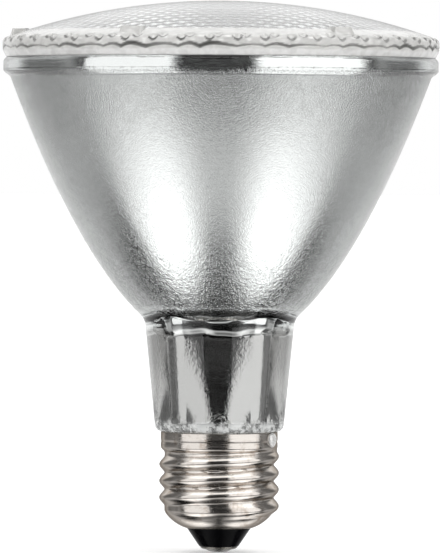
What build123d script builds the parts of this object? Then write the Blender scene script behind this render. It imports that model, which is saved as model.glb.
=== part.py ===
from build123d import *
import os
from math import asin, atan, cos, degrees, hypot, radians, sin, sqrt

# Long-necked reflector spotlight bulb with a screw base and a sealed burner on the mirror's axis.
# Millimetres. +Z runs up the lamp axis to the lens, the front is -Y,
# and the origin is the tip of the centre contact.

# Clearances
fit_gap = 0.05
wire_gap = 0.1
slot_gap = 0.1
holder_gap = 0.4

# Centre contact, its solder and the black glass insulator
solder_height = 0.55
solder_radius = 2.9
solder_flat_radius = 1.4
contact_radius = 4.1
contact_thickness = 0.6
contact_edge = 0.45
eyelet_radius = 1.5
eyelet_height = 5.5
insulator_lip = 0.15
insulator_drop = 4.05
insulator_cover = 1.5

# Screw shell of formed sheet with a rolled thread
shell_sheet = 0.4
shell_foot_radius = 7.2
shell_shoulder_height = 3.1
shell_shoulder_round = 9.0
shell_shoulder_step = 0.35
shell_wall_height = 18.0
skirt_flare = 0.85
skirt_height = 3.7
skirt_step = 0.6
thread_pitch = 3.629
thread_root_radius = 11.95
thread_depth = 1.15
thread_root_width = 2.6
thread_crest_width = 0.9
thread_start_height = 1.75
thread_runout_turns = 0.25
thread_bury = 0.25

# Side contact: soldered end of the side lead, in a notch of the shell's rim
side_contact_angle = -26.0
side_solder_width = 3.1
side_solder_height = 3.2
side_solder_thickness = 0.7
side_solder_edge = 0.5
rim_notch_width = 1.0
rim_notch_depth = 1.3

# Glass neck and its spigot in the shell
side_lead_gap = 0.2
spigot_wall = 2.2
spigot_length = 9.0
neck_overhang = 1.2
neck_foot_round = 1.6
neck_floor = 2.2
facet_count = 4
facet_bevel_angle = 21.5
facet_turn = -1.0
facet_foot_bulge = 0.9
facet_top_bulge = 0.5
facet_foot_wall = 2.6
facet_top_inset = 1.2

# Parabolic mirror, glass wall and rim
focal_length = 8.0
vertex_height = 20.25
glass_wall = 3.0
throat_radius = 14.4
throat_round = 4.0
mouth_radius = 44.3
mouth_land = 3.2
flange_inset = 1.15
reflector_rim_wall = 3.2
reflector_rim_height = 3.0
seam_inset = 0.6
seam_bevel = 0.7
wall_stations = 6

# Front lens
lens_overhang = 0.2
lens_bevel_height = 1.6
lens_rim_height = 2.5
lens_edge = 0.9
dome_rise = 8.4
lens_thickness = 3.6
lens_skirt_inset = 0.7
lens_skirt_draft = 1.0
lug_count = 3
lug_spacing = 60.0
lug_first_angle = -175.0
lug_width = 5.0
lug_depth = 4.0
lug_setback = 1.7
lug_height = 1.5

# Burner: ceramic arc tube in a pinched quartz capsule
arc_radius = 3.4
arc_length = 8.0
arc_wall = 0.8
arc_end_slope = 1.0
capillary_radius = 1.3
capillary_length = 6.5
electrode_radius = 0.35
electrode_tip_radius = 0.55
electrode_tip_length = 1.2
electrode_reach = 1.4
electrode_stub = 1.2
capsule_clearance = 1.1
capsule_wall = 1.0
capsule_tip_radius = 1.2
capsule_tip_length = 1.6
capsule_tip_taper = 15.0
capsule_headroom = 0.6
capsule_crown = 3.6
capsule_crown_slope = 38.0
lead_drop = 1.6
pinch_margin = 0.7
pinch_thickness = 3.2
pinch_shoulder = 2.6
return_wire_clearance = 0.7
foil_width = 2.2
foil_thickness = 0.12
foil_margin = 1.0
burner_wire_radius = 0.3
burner_wire_bend = 1.0
getter_width = 2.2
getter_height = 2.4
getter_thickness = 0.4

# Ceramic holder and the leads in the base
holder_height = 8.0
holder_web = 1.2
holder_boss_gap = 0.2
holder_boss_length = 5.0
slot_cement = 0.7
pin_radius = 0.45
pin_stub = 1.5
lead_radius = 0.35
lead_bend = 1.0
side_lead_bend = 0.5
side_lead_drop = 2.0
sleeve_wall = 0.5
sleeve_length = 6.0
cement_depth = 6.5

# Heights along the lamp axis
contact_z = solder_height
insulator_z = contact_z + contact_thickness
shell_foot_z = insulator_z + insulator_drop
shell_wall_z = shell_foot_z + shell_shoulder_height
shell_rim_z = shell_wall_z + shell_wall_height
skirt_z = shell_rim_z - skirt_height
insulator_top_z = shell_wall_z + insulator_cover
thread_start_z = shell_wall_z + thread_start_height
neck_foot_z = shell_rim_z + fit_gap
spigot_foot_z = neck_foot_z - spigot_length
cavity_floor_z = neck_foot_z + neck_floor
vertex_z = neck_foot_z + vertex_height
focus_z = vertex_z + focal_length
seam_z = vertex_z + mouth_radius**2 / (4 * focal_length)
mirror_edge_z = seam_z - mouth_land

# Radii of the base, from the thread's root outwards and inwards
bore_radius = thread_root_radius - shell_sheet
shell_shoulder_radius = thread_root_radius - shell_shoulder_step
thread_crest_radius = thread_root_radius + thread_depth
skirt_radius = thread_root_radius + skirt_flare
skirt_bore_radius = skirt_radius - shell_sheet
spigot_radius = bore_radius - 2 * (lead_radius + side_lead_gap)
spigot_bore_radius = spigot_radius - spigot_wall
insulator_foot_radius = contact_radius + insulator_lip

# Radii of the neck and the rim
neck_foot_radius = skirt_radius + neck_overhang
facet_half_angle = (360 / facet_count - facet_bevel_angle) / 2
facet_foot_reach = neck_foot_radius - facet_foot_wall
facet_top_reach = throat_radius - facet_top_inset
facet_foot_apothem = facet_foot_reach * cos(radians(facet_half_angle))
mirror_edge_radius = sqrt(4 * focal_length * (mirror_edge_z - vertex_z))
reflector_rim_radius = mouth_radius + reflector_rim_wall
seam_radius = reflector_rim_radius - seam_inset
lens_rim_radius = reflector_rim_radius + lens_overhang
lens_skirt_radius = mouth_radius - lens_skirt_inset
lug_outer_radius = lens_rim_radius - lug_setback
lug_inner_radius = lug_outer_radius - lug_depth

# Radii of the burner, from the arc tube outwards
foil_offset = arc_radius + return_wire_clearance + burner_wire_radius
capsule_bore_radius = foil_offset + burner_wire_radius + capsule_clearance
capsule_radius = capsule_bore_radius + capsule_wall
pinch_width = 2 * (foil_offset + pinch_margin) + foil_width

# Planes of the leads: upright through the side contact, and level across it
lead_direction = (cos(radians(side_contact_angle)), sin(radians(side_contact_angle)), 0)
lead_normal = (lead_direction[1], -lead_direction[0], 0)
lead_plane = Plane(origin=(0, 0, 0), x_dir=lead_direction, z_dir=lead_normal)


def level(height):
    """Level plane at a height, turned to the leads."""
    return Plane(origin=(0, 0, height), x_dir=lead_direction, z_dir=(0, 0, 1))


def turned(outline):
    """Solid of revolution from a closed outline of (radius, height) corners."""
    with BuildPart() as piece:
        with BuildSketch(Plane.XZ):
            with BuildLine():
                Polyline(*outline, close=True)
            make_face()
        revolve(axis=Axis.Z)
    return piece.part


def bent_wire(route, radius, bend):
    """Round wire along runs in the lead plane, each corner eased by a short run across it."""
    corners = [Vector(*point) for point in route]
    eased = [corners[0]]
    for before, corner, after in zip(corners, corners[1:], corners[2:]):
        eased.append(corner + (before - corner).normalized() * bend)
        eased.append(corner + (after - corner).normalized() * bend)
    eased.append(corners[-1])
    with BuildPart() as piece:
        with BuildLine(lead_plane) as path:
            Polyline(*[(point.X, point.Y) for point in eased])
        with BuildSketch(Plane(origin=path.line @ 0, z_dir=path.line % 0)):
            Circle(radius)
        sweep(path=path.line, transition=Transition.RIGHT)
    return piece


# Centre solder: a bead with a worn flat at its tip
with BuildPart() as centre_solder:
    with BuildSketch(Plane.XZ):
        with BuildLine():
            foot = Line((0, 0), (solder_flat_radius, 0))
            bead = RadiusArc(foot @ 1, (solder_radius, solder_height), -solder_radius)
            Polyline(bead @ 1, (0, solder_height), (0, 0))
        make_face()
    revolve(axis=Axis.Z)

# Centre contact: a pressed brass disc with an eyelet up through the insulator
contact_hole_radius = lead_radius + wire_gap
with BuildPart() as centre_contact:
    add(
        turned(
            [
                (contact_hole_radius, contact_z),
                (contact_radius - contact_edge, contact_z),
                (contact_radius, contact_z + contact_edge),
                (contact_radius, insulator_z),
                (eyelet_radius, insulator_z),
                (eyelet_radius, insulator_z + eyelet_height),
                (contact_hole_radius, insulator_z + eyelet_height),
            ]
        )
    )

# Screw shell: a rounded shoulder drawn in to the foot, with its two faces a sheet's thickness apart
shoulder_foot = Vector(shell_foot_radius, shell_foot_z)
shoulder_top = Vector(shell_shoulder_radius, shell_wall_z)
shoulder_chord = shoulder_top - shoulder_foot
shoulder_depth = sqrt(shell_shoulder_round**2 - (shoulder_chord.length / 2) ** 2)
shoulder_inward = shoulder_chord.normalized().rotate(Axis.Z, 90)
shoulder_centre = (shoulder_foot + shoulder_top) * 0.5 + shoulder_inward * shoulder_depth


def shoulder_ends(inset):
    """Ends of the shoulder's arc, at a distance inside the shell's outer face."""
    share = 1 - inset / shell_shoulder_round
    return [shoulder_centre + (end - shoulder_centre) * share for end in (shoulder_foot, shoulder_top)]


def turned_shoulder(inset, corners):
    """Solid of revolution from the shoulder's arc and the corners from its top back to its foot."""
    foot, top = shoulder_ends(inset)
    with BuildPart() as piece:
        with BuildSketch(Plane.XZ):
            with BuildLine():
                RadiusArc(foot, top, inset - shell_shoulder_round)
                Polyline(top, *corners, foot)
            make_face()
        revolve(axis=Axis.Z)
    return piece.part


shell_hole = shoulder_ends(shell_sheet)[0]
bore_z = shell_wall_z + bore_radius - shell_shoulder_radius + shell_sheet * sqrt(2)
bore_step_z = skirt_z + shell_sheet
shell_blank = turned_shoulder(
    0,
    [
        (thread_root_radius, shell_wall_z + thread_root_radius - shell_shoulder_radius),
        (thread_root_radius, skirt_z - skirt_step),
        (skirt_radius, skirt_z),
        (skirt_radius, shell_rim_z),
        (0, shell_rim_z),
        (0, shell_foot_z),
    ],
)
shell_hollow = turned_shoulder(
    shell_sheet,
    [
        (bore_radius, bore_z),
        (bore_radius, bore_step_z - skirt_step),
        (skirt_bore_radius, bore_step_z),
        (skirt_bore_radius, shell_rim_z),
        (0, shell_rim_z),
        (0, shell_foot_z),
        (shell_foot_radius, shell_foot_z),
    ],
)

# Thread ridge: a flat-crested section wound up the shell, sinking into the wall at both ends
thread_turns = (skirt_z - skirt_step - thread_start_z) / thread_pitch - thread_runout_turns
runout_height = thread_pitch * thread_runout_turns
runout_sink = thread_depth + thread_bury
runout_angle = degrees(atan(runout_sink / runout_height))
ridge_foot_radius = thread_root_radius - thread_bury


def wound_ridge(helix):
    """Thread ridge along a helix that starts at +X."""
    with BuildPart() as piece:
        with BuildLine() as path:
            add(helix)
        with BuildSketch(Plane.XZ):
            with BuildLine():
                Polyline(
                    (ridge_foot_radius, -thread_root_width / 2),
                    (thread_crest_radius, -thread_crest_width / 2),
                    (thread_crest_radius, thread_crest_width / 2),
                    (ridge_foot_radius, thread_root_width / 2),
                    close=True,
                )
            make_face()
        sweep(path=path.line, is_frenet=True)
    return piece.part


thread_ridge = wound_ridge(Helix(thread_pitch, thread_pitch * thread_turns, ridge_foot_radius))
thread_runout = wound_ridge(
    Helix(
        thread_pitch / cos(radians(runout_angle)),
        runout_height,
        ridge_foot_radius,
        cone_angle=-runout_angle,
    )
)

with BuildPart() as screw_shell:
    add(shell_blank)
    with Locations((0, 0, thread_start_z)):
        add(thread_ridge)
        add(thread_runout, rotation=(180, 0, 0))
    with Locations((0, 0, thread_start_z + thread_pitch * thread_turns)):
        add(thread_runout, rotation=(0, 0, 360 * thread_turns))
    add(shell_hollow, mode=Mode.SUBTRACT)
    with BuildSketch(level(shell_rim_z)):
        with Locations((skirt_radius, 0)):
            Rectangle(4 * shell_sheet, rim_notch_width)
    extrude(amount=-rim_notch_depth, mode=Mode.SUBTRACT)

# Black glass insulator: poured into the shell's foot, around the eyelet
insulator_mouth_radius = shell_hole.X - fit_gap
insulator_wall_radius = bore_radius - fit_gap
insulator_bore_radius = eyelet_radius + fit_gap
with BuildPart() as glass_insulator:
    add(
        turned_shoulder(
            shell_sheet + fit_gap,
            [
                (insulator_wall_radius, bore_z + fit_gap),
                (insulator_wall_radius, insulator_top_z),
                (insulator_bore_radius, insulator_top_z),
                (insulator_bore_radius, insulator_z),
                (insulator_foot_radius, insulator_z),
                (insulator_mouth_radius, shell_foot_z),
                (insulator_mouth_radius, shell_hole.Y),
            ],
        )
    )

# Side solder: a pillow of solder against the skirt, over the notch
side_solder_plane = Plane(
    origin=(0, 0, shell_rim_z - side_solder_height / 2), x_dir=lead_normal, z_dir=lead_direction
)
with BuildPart() as side_solder:
    with BuildSketch(side_solder_plane.offset(skirt_bore_radius)):
        Ellipse(side_solder_width / 2, side_solder_height / 2)
    extrude(amount=shell_sheet + side_solder_thickness)
    chamfer(side_solder.edges().sort_by(Axis((0, 0, 0), lead_direction))[-1], side_solder_edge)
    with BuildSketch(Plane.XY.offset(skirt_z)):
        Circle(skirt_radius + fit_gap)
    extrude(amount=skirt_height, mode=Mode.SUBTRACT)


def mirror_height(radius):
    """Height of the parabolic mirror at a radius."""
    return vertex_z + radius**2 / (4 * focal_length)


def mirror_slope(radius):
    """Rise of the mirror for each unit of radius."""
    return radius / (2 * focal_length)


def wall_point(radius):
    """Point of the outer wall, square through the glass from the mirror at a radius."""
    across = glass_wall / hypot(1, mirror_slope(radius))
    return (radius + across * mirror_slope(radius), mirror_height(radius) - across)


def facet_corners(reach):
    """Corners of the neck's cavity: wide flats, the first at the front, with narrow ones between them."""
    corners = []
    for flat in range(facet_count):
        for side in (-1, 1):
            angle = radians(360 / facet_count * flat - 90 + facet_turn + side * facet_half_angle)
            corners.append(Vector(reach * cos(angle), reach * sin(angle)))
    return corners


def cavity_section(height, reach, bulge):
    """Section of the neck's cavity, its flats bulged from straight (0) to round (1)."""
    corners = facet_corners(reach)
    with BuildSketch(Plane.XY.offset(height)) as section:
        with BuildLine():
            for start, end in zip(corners, corners[1:] + corners[:1]):
                middle = (start + end) * 0.5
                crown = middle + middle.normalized() * bulge * (reach - middle.length)
                ThreePointArc(start, crown, end)
        make_face()
    return section.sketch


# Reflector: bowl, rim flange, neck and spigot in one piece of glass, with a straight land in its mouth
throat_point = wall_point(throat_radius)
bowl_end_radius = mouth_radius - flange_inset
bowl_step = (bowl_end_radius - throat_radius) / wall_stations
bowl_radii = [throat_radius + bowl_step * station for station in range(wall_stations + 1)]
bowl_ends = [(1, mirror_slope(throat_radius)), (1, mirror_slope(bowl_end_radius))]
cavity_top_z = mirror_height(facet_top_reach) + focal_length
with BuildPart() as reflector:
    with BuildSketch(Plane.XZ):
        with BuildLine():
            Polyline(
                (0, spigot_foot_z),
                (spigot_radius, spigot_foot_z),
                (spigot_radius, neck_foot_z),
                (neck_foot_radius - neck_foot_round, neck_foot_z),
            )
            CenterArc(
                (neck_foot_radius - neck_foot_round, neck_foot_z + neck_foot_round),
                neck_foot_round,
                -90,
                90,
            )
            Line((neck_foot_radius, neck_foot_z + neck_foot_round), throat_point)
            Spline(*[wall_point(radius) for radius in bowl_radii], tangents=bowl_ends)
            Polyline(
                wall_point(bowl_end_radius),
                (reflector_rim_radius, seam_z - reflector_rim_height),
                (reflector_rim_radius, seam_z - seam_bevel),
                (seam_radius, seam_z),
                (0, seam_z),
                (0, spigot_foot_z),
            )
        make_face()
    revolve(axis=Axis.Z)
    level_edges = reflector.edges().filter_by(Plane.XY)
    fillet(level_edges.sort_by_distance((throat_point[0], 0, throat_point[1]))[0], throat_round)
    with BuildSketch(Plane.XZ):
        with BuildLine():
            mirror = Bezier(
                (0, vertex_z),
                (mirror_edge_radius / 2, vertex_z),
                (mirror_edge_radius, mirror_edge_z),
            )
            Polyline(
                mirror @ 1,
                (mouth_radius, mirror_edge_z),
                (mouth_radius, seam_z),
                (0, seam_z),
                mirror @ 0,
            )
        make_face()
    revolve(axis=Axis.Z, mode=Mode.SUBTRACT)
    cavity_floor = cavity_section(cavity_floor_z, facet_foot_reach, facet_foot_bulge)
    cavity_top = cavity_section(cavity_top_z, facet_top_reach, facet_top_bulge)
    loft([cavity_floor, cavity_top], mode=Mode.SUBTRACT)
    with BuildSketch(Plane.XY.offset(spigot_foot_z)):
        Circle(spigot_bore_radius)
    extrude(amount=cavity_floor_z - spigot_foot_z, mode=Mode.SUBTRACT)

# Base cement: fills the shell round the spigot, with a channel for the side lead
cement_z = shell_rim_z - cement_depth
channel_width = 2 * (lead_radius + wire_gap)
with BuildPart() as base_cement:
    add(
        turned(
            [
                (spigot_radius + fit_gap, cement_z),
                (bore_radius - fit_gap, cement_z),
                (bore_radius - fit_gap, bore_step_z - skirt_step + fit_gap),
                (skirt_bore_radius - fit_gap, bore_step_z + fit_gap),
                (skirt_bore_radius - fit_gap, shell_rim_z),
                (spigot_radius + fit_gap, shell_rim_z),
            ]
        )
    )
    with BuildSketch(level(cement_z)):
        with Locations((skirt_radius, 0)):
            Rectangle(2 * (skirt_radius - spigot_radius), channel_width)
    extrude(amount=cement_depth, mode=Mode.SUBTRACT)

# Front lens: a shallow dome over a rim that is fused to the reflector, with lugs on its edge
lens_corner_z = seam_z + lens_bevel_height + lens_rim_height
apex_z = lens_corner_z + dome_rise
dome_radius = (dome_rise**2 + lens_rim_radius**2) / (2 * dome_rise)
dome_centre = (0, apex_z - dome_radius)
dome_span = degrees(asin(lens_rim_radius / dome_radius))
inner_dome_radius = dome_radius - lens_thickness
inner_edge_radius = lens_skirt_radius - lens_skirt_draft
inner_edge_z = dome_centre[1] + sqrt(inner_dome_radius**2 - inner_edge_radius**2)
inner_span = degrees(asin(inner_edge_radius / inner_dome_radius))
lug_z = dome_centre[1] + sqrt(dome_radius**2 - lug_outer_radius**2) + lug_height
with BuildPart() as front_lens:
    with BuildSketch(Plane.XZ):
        with BuildLine():
            CenterArc(dome_centre, dome_radius, 90 - dome_span, dome_span)
            Polyline(
                (lens_rim_radius, lens_corner_z),
                (lens_rim_radius, seam_z + lens_bevel_height),
                (seam_radius, seam_z),
                (lens_skirt_radius, seam_z),
                (inner_edge_radius, inner_edge_z),
            )
            CenterArc(dome_centre, inner_dome_radius, 90 - inner_span, inner_span)
            Line((0, apex_z - lens_thickness), (0, apex_z))
        make_face()
    revolve(axis=Axis.Z)
    rim_edges = front_lens.edges().filter_by(Plane.XY).group_by(SortBy.RADIUS)[-1]
    chamfer(rim_edges.sort_by(Axis.Z)[-1], lens_edge)
    with BuildSketch(Plane.XY.offset(lug_z)):
        with PolarLocations(
            (lug_inner_radius + lug_outer_radius) / 2, lug_count, lug_first_angle, lug_spacing * lug_count
        ):
            Rectangle(lug_outer_radius - lug_inner_radius, lug_width)
    extrude(amount=-(lug_height + lens_thickness / 2))

# Ceramic holder: a disc on the floor of the neck, with a boss in the spigot's bore and a slot for the pinch
slot_width = pinch_width + 2 * (slot_gap + slot_cement)
slot_thickness = pinch_thickness + 2 * (slot_gap + slot_cement)
slot_floor_z = cavity_floor_z + holder_web
boss_foot_z = cavity_floor_z - holder_boss_length
lead_spots = [(foil_offset, 0), (-foil_offset, 0)]
with BuildPart() as capsule_holder:
    with BuildSketch(Plane.XY.offset(cavity_floor_z)):
        Circle(facet_foot_apothem - holder_gap)
    extrude(amount=holder_height)
    with BuildSketch(Plane.XY.offset(boss_foot_z)):
        Circle(spigot_bore_radius - holder_boss_gap)
    extrude(amount=holder_boss_length)
    with BuildSketch(level(slot_floor_z)):
        Rectangle(slot_width, slot_thickness)
    extrude(amount=holder_height - holder_web, mode=Mode.SUBTRACT)
    with BuildSketch(level(boss_foot_z)):
        with Locations(*lead_spots):
            Circle(pin_radius + wire_gap)
    extrude(amount=slot_floor_z - boss_foot_z, mode=Mode.SUBTRACT)

# Cement round the pinch in the holder's slot
with BuildPart() as capsule_cement:
    with BuildSketch(level(slot_floor_z)):
        Rectangle(slot_width - 2 * fit_gap, slot_thickness - 2 * fit_gap)
        Rectangle(pinch_width + 2 * fit_gap, pinch_thickness + 2 * fit_gap, mode=Mode.SUBTRACT)
    extrude(amount=holder_height - holder_web)

# Arc tube: centred on the mirror's focus, with its electrodes through the capillaries
arc_reach = arc_length / 2 + capillary_length
capillary_bore = electrode_radius + wire_gap
stub_reach = arc_reach + electrode_stub
arc_bore_radius = arc_radius - arc_wall
arc_bore_reach = arc_length / 2 - arc_wall
tip_reach = arc_bore_reach - electrode_reach
with BuildPart() as arc_tube:
    add(
        turned(
            [
                (capillary_bore, focus_z - arc_reach),
                (capillary_radius, focus_z - arc_reach),
                (capillary_radius, focus_z - arc_length / 2),
                (arc_radius - arc_end_slope, focus_z - arc_length / 2),
                (arc_radius, focus_z - arc_length / 2 + arc_end_slope),
                (arc_radius, focus_z + arc_length / 2 - arc_end_slope),
                (arc_radius - arc_end_slope, focus_z + arc_length / 2),
                (capillary_radius, focus_z + arc_length / 2),
                (capillary_radius, focus_z + arc_reach),
                (capillary_bore, focus_z + arc_reach),
                (capillary_bore, focus_z + arc_bore_reach),
                (arc_bore_radius, focus_z + arc_bore_reach),
                (arc_bore_radius, focus_z - arc_bore_reach),
                (capillary_bore, focus_z - arc_bore_reach),
            ]
        )
    )


def electrode(direction):
    """Electrode from its tip beside the focus out through a capillary, up (1) or down (-1)."""
    with BuildPart() as piece:
        with BuildSketch(Plane.XY.offset(focus_z + direction * tip_reach)):
            Circle(electrode_tip_radius)
        extrude(amount=direction * electrode_tip_length)
        with BuildSketch(Plane.XY.offset(focus_z + direction * tip_reach)):
            Circle(electrode_radius)
        extrude(amount=direction * (stub_reach - tip_reach))
    return piece


upper_electrode = electrode(1)
lower_electrode = electrode(-1)

# Quartz capsule: a tube with a domed top and exhaust tip, pinched flat over the foils at its foot
weld_reach = electrode_radius + fit_gap
upper_weld_z = focus_z + stub_reach - burner_wire_radius
lower_weld_z = focus_z - stub_reach + burner_wire_radius
getter_z = upper_weld_z + burner_wire_radius + fit_gap
tube_foot_z = lower_weld_z - burner_wire_radius - lead_drop
pinch_top_z = tube_foot_z - pinch_shoulder
tube_top_z = getter_z + getter_height + capsule_headroom
foil_foot_z = slot_floor_z + foil_margin
foil_top_z = pinch_top_z - foil_margin
with BuildPart() as quartz_capsule:
    with BuildSketch(level(slot_floor_z)):
        Rectangle(pinch_width, pinch_thickness)
    extrude(amount=pinch_top_z - slot_floor_z)
    with BuildSketch(level(pinch_top_z)):
        Rectangle(pinch_width, pinch_thickness)
    with BuildSketch(level(tube_foot_z)):
        Circle(capsule_radius)
    loft()
    with BuildSketch(Plane.XZ):
        with BuildLine():
            Polyline((0, tube_foot_z), (capsule_radius, tube_foot_z), (capsule_radius, tube_top_z))
            CenterArc((0, tube_top_z), capsule_radius, 0, 90)
            Line((0, tube_top_z + capsule_radius), (0, tube_foot_z))
        make_face()
    revolve(axis=Axis.Z)
    with BuildSketch(Plane.XY.offset(tube_top_z + capsule_bore_radius)):
        Circle(capsule_tip_radius)
    extrude(amount=capsule_wall + capsule_tip_length, taper=capsule_tip_taper)
    with BuildSketch(Plane.XY.offset(tube_foot_z)):
        Circle(capsule_bore_radius)
    extrude(amount=tube_top_z - tube_foot_z, mode=Mode.SUBTRACT)
    with BuildSketch(Plane.XY.offset(tube_top_z)):
        Circle(capsule_bore_radius)
    extrude(amount=capsule_crown, taper=capsule_crown_slope, mode=Mode.SUBTRACT)
    with BuildSketch(level(foil_foot_z - fit_gap)):
        with Locations(*lead_spots):
            Rectangle(foil_width + 2 * fit_gap, foil_thickness + 2 * fit_gap)
    extrude(amount=foil_top_z - foil_foot_z + 2 * fit_gap, mode=Mode.SUBTRACT)
    with BuildSketch(level(foil_top_z)):
        with Locations(*lead_spots):
            Circle(burner_wire_radius + fit_gap)
    extrude(amount=tube_foot_z - foil_top_z, mode=Mode.SUBTRACT)
    with BuildSketch(level(slot_floor_z)):
        with Locations(*lead_spots):
            Circle(pin_radius + fit_gap)
    extrude(amount=foil_foot_z - slot_floor_z, mode=Mode.SUBTRACT)


def seal_foil(spot):
    """Foil that carries one lead through the pinch."""
    with BuildPart() as piece:
        with BuildSketch(level(foil_foot_z)):
            with Locations(spot):
                Rectangle(foil_width, foil_thickness)
        extrude(amount=foil_top_z - foil_foot_z)
    return piece


def outer_pin(spot):
    """Pin from a foil down through the holder."""
    with BuildPart() as piece:
        with BuildSketch(level(pin_foot_z)):
            with Locations(spot):
                Circle(pin_radius)
        extrude(amount=foil_foot_z - pin_foot_z)
    return piece


pin_foot_z = boss_foot_z - pin_stub
seal_foil_return, seal_foil_centre = [seal_foil(spot) for spot in lead_spots]
pin_return, pin_centre = [outer_pin(spot) for spot in lead_spots]

# Wires of the burner: from the electrodes' stubs to the foils, and the getter on the upper one
return_wire = bent_wire(
    [(weld_reach, upper_weld_z), (foil_offset, upper_weld_z), (foil_offset, foil_top_z)],
    burner_wire_radius,
    burner_wire_bend,
)
lower_lead = bent_wire(
    [(-weld_reach, lower_weld_z), (-foil_offset, lower_weld_z), (-foil_offset, foil_top_z)],
    burner_wire_radius,
    burner_wire_bend,
)
with BuildPart() as getter:
    with BuildSketch(level(getter_z)):
        with Locations((foil_offset / 2, 0)):
            Rectangle(getter_width, getter_thickness)
    extrude(amount=getter_height)

# Leads in the base: one down the axis to the centre contact, one under the spigot and up to the rim's notch
lead_top_z = pin_foot_z
sleeve_foot_z = boss_foot_z - sleeve_length
side_lead_radius = (spigot_radius + bore_radius) / 2
side_lead_foot_z = spigot_foot_z - side_lead_drop
side_lead_exit_z = shell_rim_z - rim_notch_depth + lead_radius + wire_gap
centre_lead = bent_wire(
    [
        (-foil_offset, lead_top_z),
        (-foil_offset, sleeve_foot_z - lead_bend),
        (0, insulator_top_z + lead_bend),
        (0, contact_z),
    ],
    lead_radius,
    lead_bend,
)
side_lead = bent_wire(
    [
        (foil_offset, lead_top_z),
        (foil_offset, side_lead_foot_z),
        (side_lead_radius, side_lead_foot_z),
        (side_lead_radius, side_lead_exit_z),
        (skirt_radius, side_lead_exit_z),
    ],
    lead_radius,
    side_lead_bend,
)

# Insulating sleeve over the joint of the centre pin and its lead
with BuildPart() as lead_sleeve:
    with BuildSketch(level(sleeve_foot_z)):
        with Locations((-foil_offset, 0)):
            Circle(pin_radius + wire_gap + sleeve_wall)
            Circle(pin_radius + wire_gap, mode=Mode.SUBTRACT)
    extrude(amount=sleeve_length)

pieces = {
    "front_lens": front_lens,
    "reflector": reflector,
    "screw_shell": screw_shell,
    "side_solder": side_solder,
    "glass_insulator": glass_insulator,
    "centre_contact": centre_contact,
    "centre_solder": centre_solder,
    "base_cement": base_cement,
    "capsule_holder": capsule_holder,
    "capsule_cement": capsule_cement,
    "quartz_capsule": quartz_capsule,
    "arc_tube": arc_tube,
    "upper_electrode": upper_electrode,
    "lower_electrode": lower_electrode,
    "return_wire": return_wire,
    "lower_lead": lower_lead,
    "seal_foil_return": seal_foil_return,
    "seal_foil_centre": seal_foil_centre,
    "pin_return": pin_return,
    "pin_centre": pin_centre,
    "getter": getter,
    "centre_lead": centre_lead,
    "side_lead": side_lead,
    "lead_sleeve": lead_sleeve,
}
os.makedirs("parts", exist_ok=True)
for name, piece in pieces.items():
    piece.part.label = name
    export_step(piece.part, f"parts/{name}.step")
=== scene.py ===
"""Looks of a long-necked reflector spotlight bulb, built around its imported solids.

Metres in Blender, millimetres in the mesh code. +Z runs up the lamp axis, the front is -Y.
"""

from math import cos, hypot, pi, radians, sin, sqrt, tan, tau

import bpy
import numpy as np
from mathutils import Matrix, Vector
from mathutils.geometry import delaunay_2d_cdt


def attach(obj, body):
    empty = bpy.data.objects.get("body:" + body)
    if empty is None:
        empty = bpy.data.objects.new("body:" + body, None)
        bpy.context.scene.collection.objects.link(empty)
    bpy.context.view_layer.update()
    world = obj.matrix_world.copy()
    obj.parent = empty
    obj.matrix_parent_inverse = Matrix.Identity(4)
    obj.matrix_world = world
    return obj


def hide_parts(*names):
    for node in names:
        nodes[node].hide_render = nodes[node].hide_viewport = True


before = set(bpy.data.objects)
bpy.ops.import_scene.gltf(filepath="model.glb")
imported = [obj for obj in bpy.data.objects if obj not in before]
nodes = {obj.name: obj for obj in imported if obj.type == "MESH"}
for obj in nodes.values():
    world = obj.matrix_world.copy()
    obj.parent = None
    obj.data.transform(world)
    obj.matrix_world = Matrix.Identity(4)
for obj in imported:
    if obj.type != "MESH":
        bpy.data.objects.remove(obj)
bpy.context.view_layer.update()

MM = 0.001

# Sizes shared with the solids
SEAM_Z = 107.928
MIRROR_VERTEX_Z = 46.6
FOCAL_LENGTH = 8.0
FOCUS_Z = MIRROR_VERTEX_Z + FOCAL_LENGTH
MOUTH_RADIUS = 44.3
GLASS_WALL = 3.0
NECK_FOOT_Z = 26.35
CAVITY_FLOOR_Z = 28.55
SIDE_CONTACT_ANGLE = radians(-26.0)


# Mesh helpers

def around(count):
    """Evenly spaced angles round the lamp axis."""
    return np.arange(count) * tau / count


def eased(corners, steps=5):
    """Outline through (radius, height, easing) corners, each rounded over its easing length."""
    places = [np.array(corner[:2], float) for corner in corners]
    outline = []
    for i, corner in enumerate(corners):
        easing = corner[2]
        if easing == 0:
            outline.append(places[i])
            continue
        before = places[i - 1] - places[i]
        after = places[(i + 1) % len(places)] - places[i]
        start = places[i] + before / np.linalg.norm(before) * easing
        end = places[i] + after / np.linalg.norm(after) * easing
        for t in np.linspace(0, 1, steps + 1):
            outline.append((1 - t) ** 2 * start + 2 * t * (1 - t) * places[i] + t**2 * end)
    return np.array(outline)


def arc_between(start, end, radius, steps=12):
    """Points along an arc that bulges to the right of its way from start to end, and its centre."""
    start, end = np.array(start), np.array(end)
    chord = end - start
    leftward = np.array([-chord[1], chord[0]]) / np.linalg.norm(chord)
    centre = (start + end) / 2 + leftward * sqrt(radius**2 - chord @ chord / 4)
    first, last = (np.arctan2(*(point - centre)[::-1]) for point in (start, end))
    turns = np.linspace(first, last, steps + 1)
    return centre + radius * np.stack([np.cos(turns), np.sin(turns)], axis=-1), centre


def spaced(outline, spacing):
    """The same outline with no two points further apart than a spacing."""
    points = [outline[0]]
    for start, end in zip(outline, outline[1:]):
        count = max(1, int(np.ceil(np.linalg.norm(end - start) / spacing)))
        points.extend(start + (end - start) * step / count for step in range(1, count + 1))
    return np.array(points)


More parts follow.
